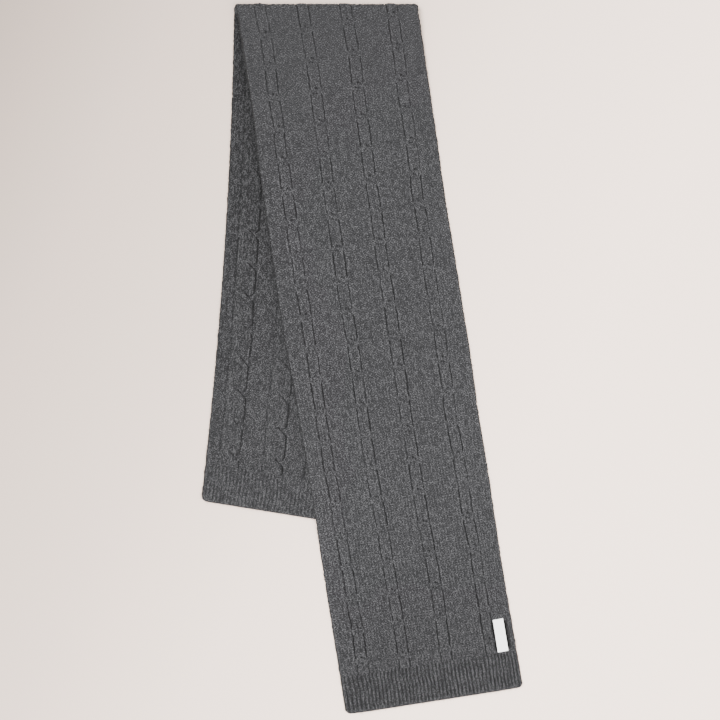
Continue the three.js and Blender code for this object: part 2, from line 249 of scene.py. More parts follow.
def stitches(u, along):
    """V-shaped stitches: two legs rise from the middle of each wale, a little uneven."""
    wale = np.clip(np.floor(u / WALE).astype(int), 0, WALES)
    course = np.floor(along / COURSE).astype(int) % stitch_strength.shape[1]
    from_middle = np.abs(2 * (u / WALE % 1.0) - 1)
    leg = np.cos(2 * np.pi * (along / COURSE + STITCH_SLANT * from_middle))
    leg = leg * lerp(1.0, 0.75, smoothstep(along, 350.0, 800.0))
    between = (0.5 + 1.5 * smoothstep(along, 350.0, 800.0)) * from_middle ** 3
    calm = lerp(0.55, 1.0, smoothstep(along, 40.0, 330.0))
    return STITCH_HEIGHT * calm * (leg - between) * stitch_strength[wale, course]


def from_crossing(along, first):
    """Signed distance from the nearest crossing, and that crossing's number."""
    number = np.round((along - first) / REPEAT)
    return along - first - number * REPEAT, number.astype(int)


GROOVE_DEPTH = 2.15
GROOVE_REACH = 0.95
GROOVE_BREAK = (3.2, 6.4)
GROOVE_WOBBLE = 0.3
GROOVE_UNEVENNESS = 0.28
FOLD_RAGGEDNESS = 0.4
COLUMN_CROWN = 0.35
FOLD_BUMP = 0.9
FOLD_BUMP_REACH = 10.0
LABEL_TROUGH = 1.6
LABEL_TROUGH_REACH = 3.2
# Painted shadow beside the label's long sides: its strength and reach on the left and on the right.
LABEL_SHADES = (0.4, 0.75)
LABEL_SHADE_REACHES = (3.5, 5.0)


def column_sway(u, v):
    """How far the columns wander sideways, and how the two grooves close in beside a crossing."""
    local = np.random.RandomState(5)
    sway = np.zeros(np.broadcast(u, v).shape)
    along = from_crossing(v, FIRST_FACE_CROSSING)[0]
    closing = 0.5 * bell(np.abs(along) - 7.5, 5.0)
    for column in FACE_COLUMNS:
        wander = 0.8 * waves(v, 0.0, local.randint(1000), 90.0, 4)
        across = (u - column["centre"]) / column["width"] * 2
        sway += bell(across, 2.6) * wander - closing * across * bell(across, 1.5)
    return sway * smoothstep(np.minimum(u, CLOTH_WIDTH - u), 0.0, 15.0)


def face_relief(u, v):
    height = np.full(np.broadcast(u, v).shape, FACE_HEIGHT)
    below_fold = v * np.cos(UPPER_LEAN) - u * np.sin(UPPER_LEAN)
    local = np.random.RandomState(6)
    calm = np.ones_like(height)
    for column in FACE_COLUMNS:
        shift = local.uniform(-1.1, 1.1, 64)
        strength = local.uniform(0.6, 1.25, 64)
        ends = local.uniform(-1.5, 1.5, (2, 64))
        depths = local.uniform(0.55, 1.0, (2, 65))
        number = from_crossing(v, FIRST_FACE_CROSSING)[1]
        along, number = from_crossing(v + shift[number], FIRST_FACE_CROSSING)
        centre, half = column["centre"], column["width"] / 2
        for side in (-1, 1):
            groove = centre + side * half + GROOVE_WOBBLE * waves(v, side * 9.0 + centre, 78, 10.0, 4)
            left_or_right = (side + 1) // 2
            run = smoothstep(np.abs(along) - 0.7 * ends[left_or_right][number], *GROOVE_BREAK)
            segment = depths[left_or_right][number + (along > 0)]
            uneven = GROOVE_UNEVENNESS * waves(v, side * 9.0 + centre, 77, 17.0, 4)
            depth = GROOVE_DEPTH * segment * (0.87 + uneven)
            depth = depth * lerp(0.6, 1.0, smoothstep(v, 0.0, 700.0))
            height -= depth * run * bell(u - groove, GROOVE_REACH)
            height += 0.05 * run * bell(np.abs(u - groove) - 2.3, 1.2)
            calm -= 0.6 * run * bell(u - groove, GROOVE_REACH * 1.8)
        dome = np.clip(1 - ((u - centre) / half) ** 2, 0, 1)
        between = np.sin(np.pi * np.clip(np.abs(along) / (REPEAT / 2), 0, 1)) ** 2
        height += dome * (COLUMN_CROWN * (0.3 + 0.7 * between) + FOLD_BUMP * bell(below_fold, FOLD_BUMP_REACH))
        for stitch in CROSSING_STITCHES:
            move = local.uniform(-0.7, 0.7, (2, 64))
            across = u - centre - stitch["across"] - move[0][number]
            down = along - stitch["along"] - move[1][number]
            bump = bell(across, stitch["reach"]) * bell(down, stitch["reach"])
            height += 0.9 * stitch["height"] * strength[number] * bump
    beside_label = smoothstep(np.abs(v - LABEL["top"] - LABEL["length"] / 2), LABEL["length"] / 2, LABEL["length"] / 2 - 6)
    for label_side in (LABEL["left"] - LABEL_TROUGH_REACH / 2, LABEL["left"] + LABEL["width"] + LABEL_TROUGH_REACH / 2):
        height -= LABEL_TROUGH * beside_label * bell(u - label_side, LABEL_TROUGH_REACH)
    along = from_crossing(v, FIRST_FACE_CROSSING)[0]
    height -= 0.12 * bell(along + 2.0, 3.0)
    height += FOLD_RAGGEDNESS * waves(u, v, 34, 7.0) * bell(below_fold, FOLD_BUMP_REACH)
    height += 0.25 * waves(u, v, 33, 130.0) + 0.10 * waves(u, v, 31, 45.0) + 0.08 * waves(u, v, 32, 16.0)
    return height + calm * stitches(u, v)


UNDER_STITCH_START = 80 * COURSE
CABLE_CROSSING_LENGTH = 19.0
STRAND_HEIGHT = 1.8
STRAND_RISE = 0.6
STRAND_FALL = 0.6
LEFT_FLANK = 1.3
RIGHT_FLANK = 0.5
SLOT_FLANK = 1.0
BODY_HEIGHT = 1.45
BODY_FLANK = 0.6
CREASE_DEPTH = 1.75
CREASE_REACH = 1.6
LEFT_LINE_DEPTH = 0.2


def back_relief(u, w):
    """Rope cables: in each repeat the strand on the left crosses over to the right, going down."""
    height = BACK_HEIGHT - 0.2 + 0.10 * waves(u, w, 41, 40.0)
    phase = np.array(u + 0 * w, float)
    ropes = np.zeros_like(phase)
    creases = np.zeros_like(phase)
    local = np.random.RandomState(8)
    for cable in BACK_CABLES:
        shift = local.uniform(-1.2, 1.2, 64)
        depth = CREASE_DEPTH * local.uniform(0.5, 1.2, 64)
        number = from_crossing(w, FIRST_BACK_CROSSING)[1]
        up = from_crossing(w + shift[number], FIRST_BACK_CROSSING)[0]
        quarter = cable["width"] / 4
        centre = cable["centre"] + 0.7 * waves(w, 0.0, local.randint(1000), 110.0, 4)
        turn = smoothstep(-up, -CABLE_CROSSING_LENGTH / 2, CABLE_CROSSING_LENGTH / 2)
        crossing = bell(up, CABLE_CROSSING_LENGTH / 2.4)
        slope = 2 * quarter * 1.5 * bell(up, CABLE_CROSSING_LENGTH / 3) / CABLE_CROSSING_LENGTH
        straighten = np.sqrt(1 + slope ** 2)
        for start, rise in ((-1, STRAND_RISE), (1, -STRAND_FALL)):
            middle = centre + start * quarter * (1 - 2 * turn)
            across = (u - middle) / (quarter * 1.02 * straighten)
            outside = smoothstep(turn, 0.05, 0.3) if start < 0 else 1 - smoothstep(turn, 0.3, 0.6)
            right_flank = lerp(SLOT_FLANK, RIGHT_FLANK, outside)
            round_top = np.clip(1 - across ** 2, 0, 1) ** np.where(across > 0, right_flank, LEFT_FLANK)
            strand = (STRAND_HEIGHT + rise * crossing) * round_top
            on_top = strand > ropes
            phase = np.where(on_top, u - middle + cable["centre"], phase)
            ropes = np.maximum(ropes, strand)
        crossing_over = bell(u - centre - 2 * quarter * turn, CREASE_REACH) * smoothstep(turn, 0.05, 0.3)
        crossing_over = crossing_over * lerp(1.0, 0.4, smoothstep(-up, 6.0, 24.0))
        going_under = bell(u - centre - 2 * quarter * (1 - turn), CREASE_REACH) * smoothstep(turn, 0.5, 0.15)
        going_under = going_under * lerp(0.7, 0.4, smoothstep(up, 8.0, 24.0))
        creases = np.maximum(creases, np.maximum(crossing_over, going_under) * depth[number])
        creases = np.maximum(creases, LEFT_LINE_DEPTH * bell(u - centre + 2 * quarter, CREASE_REACH))
        body = np.clip(1 - ((u - centre) / (2 * quarter)) ** 2, 0, 1) ** BODY_FLANK
        ropes = np.maximum(ropes, BODY_HEIGHT * body)
    height = height + ropes
    seen = 1 - smoothstep(u, UNDER_SEEN - 12.0, UNDER_SEEN - 2.0)
    return height - seen * creases + 0.6 * seen * stitches(phase, w + UNDER_STITCH_START)


RIB_RISE = 1.2
UNDER_RIB_RISE = 0.65
# Painted shade on the ribbed ends.
RIB_SHADE = 0.17
UNDER_RIB_SHADE = 0.12


def rib_relief(u, from_hem, height=RIB_RISE):
    sway = 0.5 * waves(u / 3, from_hem, 53, 24.0) * smoothstep(np.minimum(u, CLOTH_WIDTH - u), 0.0, 12.0)
    ribs = 0.5 + 0.5 * np.cos(2 * np.pi * ((u + sway) / CLOTH_WIDTH * RIB_COUNT - 0.5))
    rows = 0.22 * np.cos(2 * np.pi * (from_hem / COURSE + 0.5 * ribs))
    uneven = 0.88 + 0.3 * waves(u, from_hem / 2, 52, 11.0)
    top = RIB_RISE - height
    return top + height * uneven * ribs ** 1.1 + rows * ribs - 0.05 + 0.06 * waves(u, from_hem, 51, 20.0)


def under_rib_relief(u, from_hem):
    return rib_relief(u, from_hem, UNDER_RIB_RISE)


EDGE_ROUND = 3.2
EDGE_LIFT = 0.8
EDGE_THINNING = 1.0
THINNING_REACH = 11.0
THINNEST = 0.8


def rounded(height, u, floor=EDGE_LIFT):
    """Brings the outer face down over the cloth's side edges."""
    inside = np.minimum(u, CLOTH_WIDTH - u)
    share = np.clip(1 - inside / EDGE_ROUND, 0, 1)
    return lerp(floor, height, np.sqrt(1 - share ** 2))


def edge_loops(u, along):
    """The side edges step in and out a little with the end loops of the courses."""
    loops = 0.35 * np.cos(np.pi * along / COURSE) + 0.3 * waves(along, 0.0, 61, 22.0, 5)
    side = bell(u, 2.5) - bell(CLOTH_WIDTH - u, 2.5)
    return side * loops


# Meshes: a closed wall from an outer and an inner grid of points


def even(count):
    return np.linspace(0, 1, count + 1)


def zip_lines(outer, inner, places):
    """Triangles that join two lines of point numbers, taken at even pace."""
    def progress(line):
        steps = np.linalg.norm(np.diff(places[line][:, :2], axis=0), axis=1)
        length = np.concatenate([[0], np.cumsum(steps)])
        return length / length[-1]
    outer_at, inner_at = progress(outer), progress(inner)
    i = j = 0
    found = []
    while i + 1 < len(outer) or j + 1 < len(inner):
        outer_next = outer_at[i + 1] if i + 1 < len(outer) else 2.0
        inner_next = inner_at[j + 1] if j + 1 < len(inner) else 2.0
        if outer_next <= inner_next:
            found.append((outer[i], outer[i + 1], inner[j]))
            i += 1
        else:
            found.append((inner[j + 1], inner[j], outer[i]))
            j += 1
    return np.array(found)


def grid_faces(numbers, lean=None):
    """Two triangles for each cell. Where lean is true, a cell is cut along its other diagonal."""
    a, b = numbers[:-1, :-1], numbers[1:, :-1]
    c, d = numbers[1:, 1:], numbers[:-1, 1:]
    lean = np.zeros(a.shape, bool) if lean is None else lean
    first = np.where(lean[..., None], np.stack([a, b, d], -1), np.stack([a, b, c], -1))
    second = np.where(lean[..., None], np.stack([b, c, d], -1), np.stack([a, c, d], -1))
    return np.concatenate([first.reshape(-1, 3), second.reshape(-1, 3)])


def surface_normals(points):
    across = np.gradient(points, axis=1)
    down = np.gradient(points, axis=0)
    normals = np.cross(down, across)
    return normals / np.linalg.norm(normals, axis=-1, keepdims=True)


# Reach and depth of the recesses that get painted shade. PURL_SHADE is painted shade over the whole under layer,
# standing in for the shade among its purl stitches.
HOLLOW_REACH = 3.2
HOLLOW_DEPTH = 1.1
PURL_SHADE = 0.17


def running_mean(values, places, reach):
    """Mean along the last axis over the given reach to each side of each place."""
    steps = np.diff(places)
    sums = np.cumsum(0.5 * (values[:, 1:] + values[:, :-1]) * steps, axis=1)
    sums = np.hstack([np.zeros((len(values), 1)), sums])

    def sum_to(x):
        i = np.clip(np.searchsorted(places, x) - 1, 0, len(steps) - 1)
        return lerp(sums[:, i], sums[:, i + 1], (x - places[i]) / steps[i])

    low = np.clip(places - reach, places[0], places[-1])
    high = np.clip(places + reach, places[0], places[-1])
    return (sum_to(high) - sum_to(low)) / (high - low)


def painted_recess_shade(relief, across, row_step):
    """How far each point lies below the cloth around it, from 0 to 1, for the painted shade in grooves and other
    recesses.
    """
    around = running_mean(relief, across, HOLLOW_REACH)
    down = np.arange(len(relief)) * row_step
    around = running_mean(around.T, down, HOLLOW_REACH).T
    return np.clip((around - relief) / HOLLOW_DEPTH, 0, 1)


def outer_grid(points, cloth_map, recess_shade, heather=1.0, shade=0.0, ghosts=(0, 0)):
    """A wall's outer face. Ghost rows at its ends only serve the normals, so that neighbouring
    pieces shade alike where they meet."""
    whole = np.ones(points.shape[:2])
    grid = {"points": points, "map": cloth_map, "recess_shade": recess_shade, "heather": heather * whole, "shade": shade * whole}
    grid["normals"] = surface_normals(points)
    return rows_of(grid, ghosts[0], len(points) - ghosts[1])


def rows_of(grid, start, stop):
    return {key: values[start:stop] for key, values in grid.items()}


def wall_mesh(name, outer_face, inner, inner_map):
    """A closed shell from its outer face and its plain inner grid of points."""
    outer, outer_map = outer_face["points"], outer_face["map"]
    places = np.concatenate([outer.reshape(-1, 3), inner.reshape(-1, 3)])
    top = np.arange(outer.shape[0] * outer.shape[1]).reshape(outer.shape[:2])
    low = np.arange(inner.shape[0] * inner.shape[1]).reshape(inner.shape[:2]) + top.size
    heights = outer[..., 2]
    lean = heights[:-1, 1:] + heights[1:, :-1] > heights[:-1, :-1] + heights[1:, 1:]
    sides = [
        (top[0], low[0]),
        (top[-1][::-1], low[-1][::-1]),
        (top[::-1, 0], low[::-1, 0]),
        (top[:, -1], low[:, -1]),
    ]
    faces = [grid_faces(top, lean), grid_faces(low)[:, ::-1]]
    faces += [zip_lines(a, b, places) for a, b in sides]
    faces = np.concatenate(faces)
    mesh = bpy.data.meshes.new(name)
    mesh.vertices.add(len(places))
    mesh.vertices.foreach_set("co", ((places + ROW_SHIFT) * MM).astype(np.float32).ravel())
    mesh.loops.add(faces.size)
    mesh.loops.foreach_set("vertex_index", faces.astype(np.int32).ravel())
    mesh.polygons.add(len(faces))
    mesh.polygons.foreach_set("loop_start", np.arange(0, faces.size, 3, dtype=np.int32))
    mesh.polygons.foreach_set("use_smooth", np.ones(len(faces), bool))
    mesh.update(calc_edges=True)
    cloth_map = np.concatenate([outer_map.reshape(-1, 2), inner_map.reshape(-1, 2)]) * MM
    cloth_uv = mesh.uv_layers.new(name="cloth").data
    cloth_uv.foreach_set("uv", cloth_map[faces.ravel()].astype(np.float32).ravel())
    # The painted recess shade, the heather and the painted shade go to the mesh as point attributes.
    for attribute, elsewhere in (("recess_shade", 0.0), ("heather", 1.0), ("shade", 0.0)):
        values = np.full(len(places), elsewhere, np.float32)
        values[: top.size] = outer_face[attribute].ravel()
        mesh.attributes.new(attribute, "FLOAT", "POINT").data.foreach_set("value", values)
    shading = np.zeros((len(places), 3), np.float32)
    shading[: top.size] = outer_face["normals"].reshape(-1, 3)
    mesh.normals_split_custom_set_from_vertices(shading)
    mesh.validate()
    piece = bpy.data.objects.new(name, mesh)
    bpy.context.scene.collection.objects.link(piece)
    return piece


# The frame's origin is the middle of the outline, so the plan is shifted to meet it
fold_low, fold_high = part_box("fold")
ROW_SHIFT = np.array([
    fold_low.x / MM - UNDER_FOLD_LEFT,
    fold_high.y / MM - FOLD_Y - FOLD_CROWN,
    0.0,
])

# Lines across the cloth: four in each wale, closer ones in each groove and at the two edges
GROOVES = [column["centre"] + side * column["width"] / 2 for column in FACE_COLUMNS for side in (-1, 1)]
GROOVE_LINES = np.array([-1.5, -0.8, -0.35, 0.0, 0.35, 0.8, 1.5])
EDGE_LINES = np.array([0.0, 0.35, 1.0])


def lines_across(grooves):
    inside = (np.arange(WALES * POINTS_IN_WALE) + 0.5) * WALE / POINTS_IN_WALE
    inside = inside[(inside > 1.6) & (inside < CLOTH_WIDTH - 1.6)]
    for groove in grooves:
        inside = inside[np.abs(inside - groove) > 2.0]
    closer = [groove + GROOVE_LINES for groove in grooves]
    return np.sort(np.concatenate([inside, *closer, EDGE_LINES, CLOTH_WIDTH - EDGE_LINES]))


UPPER_ACROSS = lines_across(GROOVES)
UNDER_SEEN = 185.0
UNDER_ACROSS = lines_across([])
UNDER_ACROSS = np.concatenate([UNDER_ACROSS[UNDER_ACROSS < UNDER_SEEN], np.linspace(UNDER_SEEN, CLOTH_WIDTH, 20)])
PLAIN_ACROSS = even(14) * CLOTH_WIDTH
ROW_STEP = COURSE / 3
FAN_STEP = 1.3


def fanned(start, end, step):
    """Left and right ends of rows from start to end, each a (left, right) pair, start included."""
    count = int(np.ceil(abs(end[0] - start[0]) / step))
    share = np.arange(count)[:, None] / count
    return np.array(start) + (np.array(end) - np.array(start)) * share


def with_ghosts(rows, step):
    first = rows[0] - step
    last = rows[-1] + step
    return np.vstack([first, rows, last])


def row_values(rows, across):
    return lerp(rows[:, :1], rows[:, 1:], across[None, :] / CLOTH_WIDTH)


def under_map(x, y):
    """Across and along the under layer below a place in the plan."""
    left_fall = (FOLD_Y - UNDER_HEM_LEFT[1]) / UNDER_LEFT_LENGTH
    right_fall = (FOLD_Y - UNDER_HEM_RIGHT[1]) / UNDER_RIGHT_LENGTH
    share = np.full(np.shape(x), 0.5)
    for _ in range(4):
        fall = lerp(left_fall, right_fall, share)
        whole = lerp(UNDER_LEFT_LENGTH * left_fall, UNDER_RIGHT_LENGTH * right_fall, share)
        w = (y - FOLD_Y + whole) / fall
        left_x = under_edge(UNDER_FOLD_LEFT, UNDER_HEM_LEFT, 1 - w / UNDER_LEFT_LENGTH)[0]
        right_x = under_edge(UNDER_FOLD_RIGHT, UNDER_HEM_RIGHT, 1 - w / UNDER_RIGHT_LENGTH)[0]
        share = (x - left_x) / (right_x - left_x)
    return share * CLOTH_WIDTH, w


SIDE_LOFT = 5.0
SIDE_LOFT_END = 430.0
DROOP_REACH = 28.0
DROOP_GAP = 0.2


def lying_height(x, y, u, v):
    """Underside of the upper layer: its free left side stands off near the fold, and further down
    it droops onto the knit of the layer below."""
    plain = underside_height(x, y)
    near_fold = 1 - smoothstep(v, 60.0, SIDE_LOFT_END)
    lofted = plain + SIDE_LOFT * near_fold * (1 - smoothstep(u, 15.0, 110.0)) * smoothstep(v, 5.0, 60.0)
    across, along = under_map(x, y)
    below = WALL + np.where(along > RIB_LENGTH, back_relief(across, along), under_rib_relief(across, along))
    over_cloth = smoothstep(along, 0.0, 8.0)
    droop = bell(u, DROOP_REACH) * (1 - near_fold) * over_cloth
    return lerp(lofted, np.minimum(below + DROOP_GAP, lofted), droop)


def upper_place(u, v):
    return upper_plan(u + column_sway(u, v), v)


def upper_points(rows, across, relief_of):
    v = row_values(rows, across)
    u = np.broadcast_to(across[None, :], v.shape)
    x, y = upper_place(u, v)
    relief = relief_of(u, v)
    z = lying_height(x, y, u, v) + relief
    return np.stack([x + edge_loops(u, v), y, z], -1), np.stack([u, v], -1), relief


def upper_face(u, v):
    """The outer face. Where the free left side lies flat, it thins out towards its edge."""
    thinner = EDGE_THINNING * bell(u, THINNING_REACH) * smoothstep(v, 250.0, SIDE_LOFT_END)
    return rounded(np.maximum(WALL + face_relief(u, v) - thinner, THINNEST), u)


def plain(u, v):
    return np.zeros_like(u)


INNER_ROWS = 60


def make_panel(name, rows, across, ghost_step, points_of, face, spans, finish_at):
    """One layer's middle, in as many walls as its knit needs points."""
    points, cloth_map, relief = points_of(with_ghosts(rows, ghost_step), across, face)
    shade, heather = finish_at(points, cloth_map)
    outer = outer_grid(points, cloth_map, painted_recess_shade(relief, across, ROW_STEP), heather, shade, (1, 1))
    cuts = np.linspace(0, len(rows) - 1, len(spans) + 1).astype(int)
    walls = []
    for span, start, stop in zip(spans, cuts[:-1], cuts[1:]):
        inner_rows = rows[np.linspace(start, stop, INNER_ROWS // len(spans)).astype(int)]
        inner, inner_map, _ = points_of(inner_rows, PLAIN_ACROSS, plain)
        walls.append(wall_mesh(f"{name}{span}", rows_of(outer, start, stop + 1), inner, inner_map))
    return walls


HEATHER_AT_FOLD = 0.7
UNDER_HEATHER = 1.1
UNDER_HEATHER_AT_FOLD = 1.5
# Painted shade laid into the wool's colour, as the share of its brightness taken off; EDGE_GLOW is painted light, a
# share added.
FRONT_SHADE_AT_FOLD = 0.05
LOW_SHADE = 0.12
EDGE_GLOW = 0.1
EDGE_GLOW_REACH = 22.0
UNDER_LEFT_SHADE = 0.13
UNDER_LEFT_REACH = 14.0
EDGE_RIM_SHADE = 0.15
EDGE_SHADE = 0.13
EDGE_SHADE_REACH = 13.0
FOLD_SHADE = 0.27


def upper_finish(points, cloth_map):
    """Painted shade and light, and heather: painted shade near the fold, towards the hem, along the left rim near the
    fold and beside the label, and a painted highlight along the left edge lower down; the stretched knit near the fold
    is smoother.
    """
    u, v = cloth_map[..., 0], cloth_map[..., 1]
    past_fold = smoothstep(v, 40.0, 330.0)
    # Painted shade near the fold and towards the hem.
    shade = lerp(FRONT_SHADE_AT_FOLD, 0.0, past_fold) + LOW_SHADE * smoothstep(v, 780.0, 980.0)
    # Painted highlight along the left edge of the lower middle.
    painted_glow_span = smoothstep(v, 480.0, 660.0) * (1 - smoothstep(v, 900.0, 1060.0))
    shade = shade - EDGE_GLOW * bell(u, EDGE_GLOW_REACH) * painted_glow_span
    # Painted shade along the left rim near the fold.
    shade = shade + EDGE_RIM_SHADE * bell(u, 5.0) * (1 - smoothstep(v, 250.0, 500.0))
    # Painted shadow beside the label's long sides, darker on its right.
    label_middle = LABEL["left"] + LABEL["width"] / 2
    from_label = np.abs(u - label_middle) - LABEL["width"] / 2 - 1.0
    half = LABEL["length"] / 2
    reach = np.where(u < label_middle, *LABEL_SHADE_REACHES)
    beside = bell(from_label, reach) * smoothstep(np.abs(v - LABEL["top"] - half), half, half - 8.0)
    shade = shade + np.where(u < label_middle, *LABEL_SHADES) * beside
    return shade, lerp(HEATHER_AT_FOLD, 1.0, past_fold)


def under_finish(points, cloth_map):
    """Painted shade on the under layer: all over, more towards the fold, beside the upper layer's edge and along its
    own left edge; and its heather, stronger towards the fold.
    """
    x, y = points[..., 0] - FOLD_LEFT, points[..., 1] - FOLD_Y
    down = x * np.sin(UPPER_LEAN) - y * np.cos(UPPER_LEAN)
    beside = upper_drift(np.zeros_like(x), down) - x * np.cos(UPPER_LEAN) - y * np.sin(UPPER_LEAN)
    near_edge = bell(np.maximum(beside, 0.0), EDGE_SHADE_REACH)
    near_fold = 1 - smoothstep(down, 150.0, 650.0)
    shade = PURL_SHADE + EDGE_SHADE * near_edge + FOLD_SHADE * near_fold
    u, w = cloth_map[..., 0], cloth_map[..., 1]
    on_left = bell(u, UNDER_LEFT_REACH) * smoothstep(w, 60.0, 120.0) * (1 - smoothstep(w, 200.0, 400.0))
    shade = shade + UNDER_LEFT_SHADE * on_left
    return shade, lerp(UNDER_HEATHER, UNDER_HEATHER_AT_FOLD, near_fold)


def make_upper_panel():
    seam = FOLD_REACH / np.cos(UPPER_LEAN)
    start = (seam, seam + CLOTH_WIDTH * np.tan(UPPER_LEAN))
    end = UPPER_LENGTH - RIB_LENGTH
    first_square = FIRST_FACE_CROSSING - 19 * REPEAT - 6
    square = np.arange(first_square, end - ROW_STEP / 2, ROW_STEP)
    rows = np.vstack([
        fanned(start, (first_square, first_square), FAN_STEP),
        np.stack([square, square], -1),
        [[end, end]],
    ])
    spans = ("_high", "_middle", "_low")
    return make_panel("knit_upper", rows, UPPER_ACROSS, ROW_STEP, upper_points, upper_face, spans, upper_finish)


def under_points(rows, across, relief_of):
    w = row_values(rows, across)
    u = np.broadcast_to(across[None, :], w.shape)
    x, y = under_plan(u, rows[:, :1], rows[:, 1:])
    relief = relief_of(u, w)
    return np.stack([x + edge_loops(u, w), y, relief], -1), np.stack([u, w], -1), relief


def under_face(u, w):
    return rounded(WALL + back_relief(u, w), u)


def make_under_panel():
    left_start = UNDER_LEFT_LENGTH * (1 - FOLD_REACH / (FOLD_Y - UNDER_HEM_LEFT[1]))
    right_start = UNDER_RIGHT_LENGTH * (1 - FOLD_REACH / (FOLD_Y - UNDER_HEM_RIGHT[1]))
    first_square = FIRST_BACK_CROSSING + 13 * REPEAT
    square = np.arange(first_square, RIB_LENGTH + ROW_STEP / 2, -ROW_STEP)
    rows = np.vstack([
        fanned((left_start, right_start), (first_square, first_square), FAN_STEP),
        np.stack([square, square], -1),
        [[RIB_LENGTH, RIB_LENGTH]],
    ])
    return make_panel("knit_under", rows, UNDER_ACROSS, -ROW_STEP, under_points, under_face, ("",), under_finish)


RIB_POINTS = 6
RIB_ROW_STEP = 1.6


def rib_hem(name, place, relief_at, heather=1.0, shade=0.0):
    """A ribbed end. Its corners are rounded and its hem edge is a little scalloped."""
    bend = CORNER_RADIUS * (1 - np.cos(np.linspace(0, np.pi / 2, 6)))
    straight = np.arange(RIB_LENGTH, CORNER_RADIUS + 0.4, -RIB_ROW_STEP)
    from_hem = np.concatenate([straight, bend[::-1]])
    across = even(RIB_COUNT * RIB_POINTS)

    def grid(shares, distances, relief_of):
        rise = np.clip(CORNER_RADIUS - distances, 0, None)
        inset = (CORNER_RADIUS - np.sqrt(np.clip(CORNER_RADIUS ** 2 - rise ** 2, 0, None)))[:, None]
        u = lerp(inset, CLOTH_WIDTH - inset, shares[None, :])
        d = np.broadcast_to(distances[:, None], u.shape)
        scallop = 0.35 * bell(d, 2.0) * (np.cos(2 * np.pi * u / CLOTH_WIDTH * RIB_COUNT) - 1) / 2
        relief = relief_of(u, d)
        return (*place(u, d, relief, scallop), relief)

    def top(u, d):
        height = WALL + relief_at(u, d)
        share = np.clip(1 - d / EDGE_ROUND, 0, 1)
        return rounded(lerp(EDGE_LIFT, height, np.sqrt(1 - share ** 2)), u)

    with_ghost = np.concatenate([[RIB_LENGTH + RIB_ROW_STEP], from_hem])
    points, cloth_map, relief = grid(across, with_ghost, top)
    recess_shade = painted_recess_shade(relief, across * CLOTH_WIDTH, RIB_ROW_STEP)
    outer = outer_grid(points, cloth_map, recess_shade, heather, shade, (1, 0))
    inner_rows = np.concatenate([straight[::10], bend[::-2]])
    inner, inner_map, _ = grid(even(6), inner_rows, plain)
    return wall_mesh(name, outer, inner, inner_map)


def make_upper_rib():
    def place(u, from_hem, relief, scallop):
        v = UPPER_LENGTH - from_hem + scallop
        x, y = upper_place(u, v)
        return np.stack([x + edge_loops(u, v), y, lying_height(x, y, u, v) + relief], -1), np.stack([u, v], -1)
    return rib_hem("knit_upper_rib", place, rib_relief, UNDER_HEATHER, RIB_SHADE)


def make_under_rib():
    def place(u, from_hem, relief, scallop):
        w = from_hem - scallop
        x, y = under_plan(u, w, w)
        return np.stack([x + edge_loops(u, w), y, relief], -1), np.stack([u, w], -1)
    return rib_hem("knit_under_rib", place, under_rib_relief, UNDER_HEATHER, UNDER_RIB_SHADE)


TURN_STEPS = 20
LEG_STEPS = 8


def make_fold():
    """The rounded turn, from the upper layer's seam round to the under layer's."""
    radius = FOLD_TOP / 2
    wall = WALL + FACE_HEIGHT
    turn_y, seam_y = FOLD_Y - radius, FOLD_Y - FOLD_REACH

    def upper_leg(across, y, relief_of):
        v = (FOLD_Y - y + across * np.sin(UPPER_LEAN)) / np.cos(UPPER_LEAN)
        x, _ = upper_place(across, v)
        relief = relief_of(across, v)
        z = lying_height(x, np.full_like(x, y), across, v) + relief
        return np.stack([x + edge_loops(across, v), np.full_like(x, y), z], -1), np.stack([across, v], -1), relief

    def turn(across, share, relief_of):
        past = share * np.pi * radius
        v = (radius - past + across * np.sin(UPPER_LEAN)) / np.cos(UPPER_LEAN)
        upper_x, _ = upper_place(across, (radius + across * np.sin(UPPER_LEAN)) / np.cos(UPPER_LEAN))
        under_x = lerp(UNDER_FOLD_LEFT, UNDER_FOLD_RIGHT, across / CLOTH_WIDTH)
        angle = np.pi * (0.5 - share)
        relief = relief_of(across, v)
        flat = smoothstep(share, 0.55, 0.95)
        r = radius - wall + (lerp(relief, wall, flat) if relief.any() else relief)
        x = lerp(upper_x, under_x, share) + edge_loops(across, v)
        places = np.stack([x, turn_y + r * np.cos(angle), radius + r * np.sin(angle)], -1)
        return places, np.stack([across, v], -1), relief

    def under_leg(across, y, z):
        v = -(np.pi * radius + turn_y - y) + across * np.sin(UPPER_LEAN)
        x = lerp(UNDER_FOLD_LEFT, UNDER_FOLD_RIGHT, across / CLOTH_WIDTH)
        return np.stack([x, np.full_like(x, y), np.full_like(x, z)], -1), np.stack([across, v], -1), np.full_like(x, wall)

    legs = np.linspace(seam_y - 1.0, turn_y, LEG_STEPS + 1)
    outer = [upper_leg(UPPER_ACROSS, y, upper_face) for y in legs]
    outer += [turn(UPPER_ACROSS, share, upper_face) for share in even(TURN_STEPS)[1:]]
    outer += [under_leg(UPPER_ACROSS, y, 0.0) for y in np.linspace(turn_y, seam_y, 5)[1:]]
    inner = [upper_leg(PLAIN_ACROSS, y, plain) for y in (seam_y, turn_y)]
    inner += [turn(PLAIN_ACROSS, share, plain) for share in even(8)[1:]]
    inner += [under_leg(PLAIN_ACROSS, seam_y, wall)]
    points, cloth_map, relief = (np.array(a)[::-1] for a in zip(*outer))
    inner, inner_map, _ = (np.array(a)[::-1] for a in zip(*inner))
    recess_shade = painted_recess_shade(relief, UPPER_ACROSS, 1.2)
    face = outer_grid(points, cloth_map, recess_shade, HEATHER_AT_FOLD, FRONT_SHADE_AT_FOLD, (0, 1))
    return wall_mesh("knit_fold", face, inner, inner_map)


